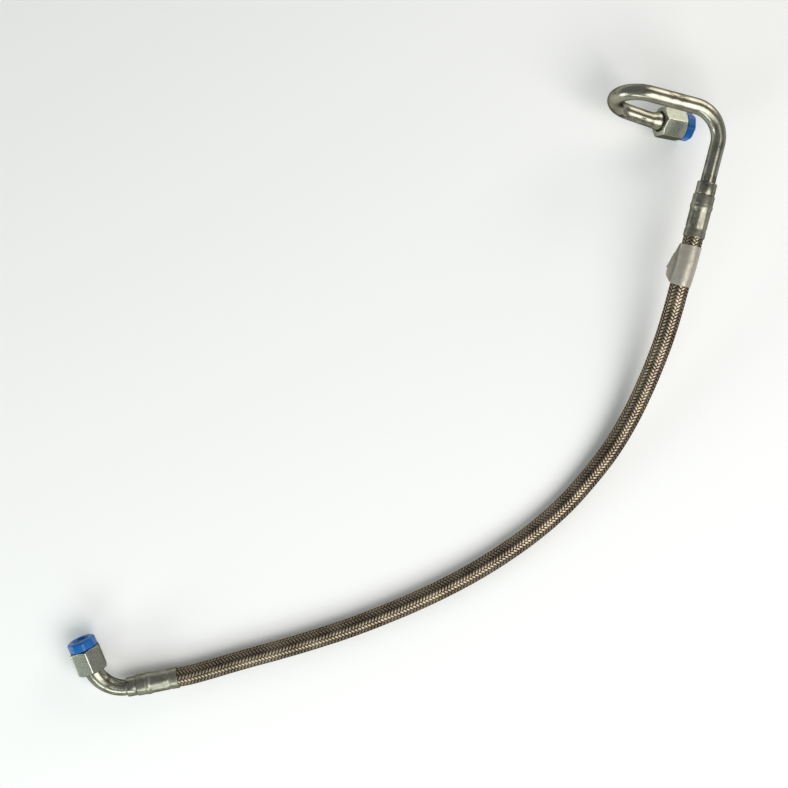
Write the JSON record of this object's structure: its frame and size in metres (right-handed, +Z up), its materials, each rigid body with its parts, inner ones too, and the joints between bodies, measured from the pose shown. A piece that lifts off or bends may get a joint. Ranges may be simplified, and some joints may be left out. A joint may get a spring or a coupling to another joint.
{
  "type": "braided fuel hose",
  "caption": "Flexible fuel hose in a woven steel braid, with a looped bent tube at one end, a short elbow at the other, and plugged hexagonal swivel nuts.",
  "frame": {"origin": "on the floor plane, midway along and across the rigid end fittings of the hose as it lies", "axes": "+Z up from the floor, +X along the longer side of the laid-out hose from the elbow end towards the looped end, +Y from the resting hose towards the looped tube"},
  "size_m": [0.4294, 0.3991, 0.0616],
  "materials": {
    "liner": "smooth plastic liner",
    "braid": "woven bright steel wire, soiled between the wires",
    "label": "silver-grey film, slightly creased",
    "ferrule": "crimped steel, satin grey",
    "fitting": "turned steel",
    "tube": "bright drawn steel with fine scratches",
    "nut": "dull zinc plating",
    "seal": "black rubber",
    "plug": "moulded blue plastic"
  },
  "bodies": {
    "hose_assembly": {"hose_liner": "liner", "braid_sleeve": "braid", "id_label": "label", "ferrule_a": "ferrule", "ferrule_b": "ferrule", "hose_insert_a": "fitting", "hose_insert_b": "fitting", "cone_nipple_a": "fitting", "cone_nipple_b": "fitting", "loop_tube": "tube", "elbow_tube": "tube", "ring_seal_a": "seal", "ring_seal_b": "seal"},
    "nut_a": {"swivel_nut_a": "nut"},
    "nut_b": {"swivel_nut_b": "nut"},
    "plug_a": {"plug_a": "plug"},
    "plug_b": {"plug_b": "plug"}
  },
  "joints": [
    {"name": "nut_a_turn", "type": "hinge", "parent": "hose_assembly", "child": "nut_a", "pos_m": [0.17805, 0.18336, 0.01706], "axis": [0.936, -0.1095, -0.3347], "continuous": true},
    {"name": "nut_b_turn", "type": "hinge", "parent": "hose_assembly", "child": "nut_b", "pos_m": [-0.1977, -0.18129, 0.01181], "axis": [-0.3491, 0.9245, 0.1532], "continuous": true},
    {"name": "plug_a_out", "type": "slide", "parent": "nut_a", "child": "plug_a", "axis": [0.936, -0.1095, -0.3347], "range_m": [0, 0.02]},
    {"name": "plug_b_out", "type": "slide", "parent": "nut_b", "child": "plug_b", "axis": [-0.3491, 0.9245, 0.1532], "range_m": [0, 0.02]}
  ]
}
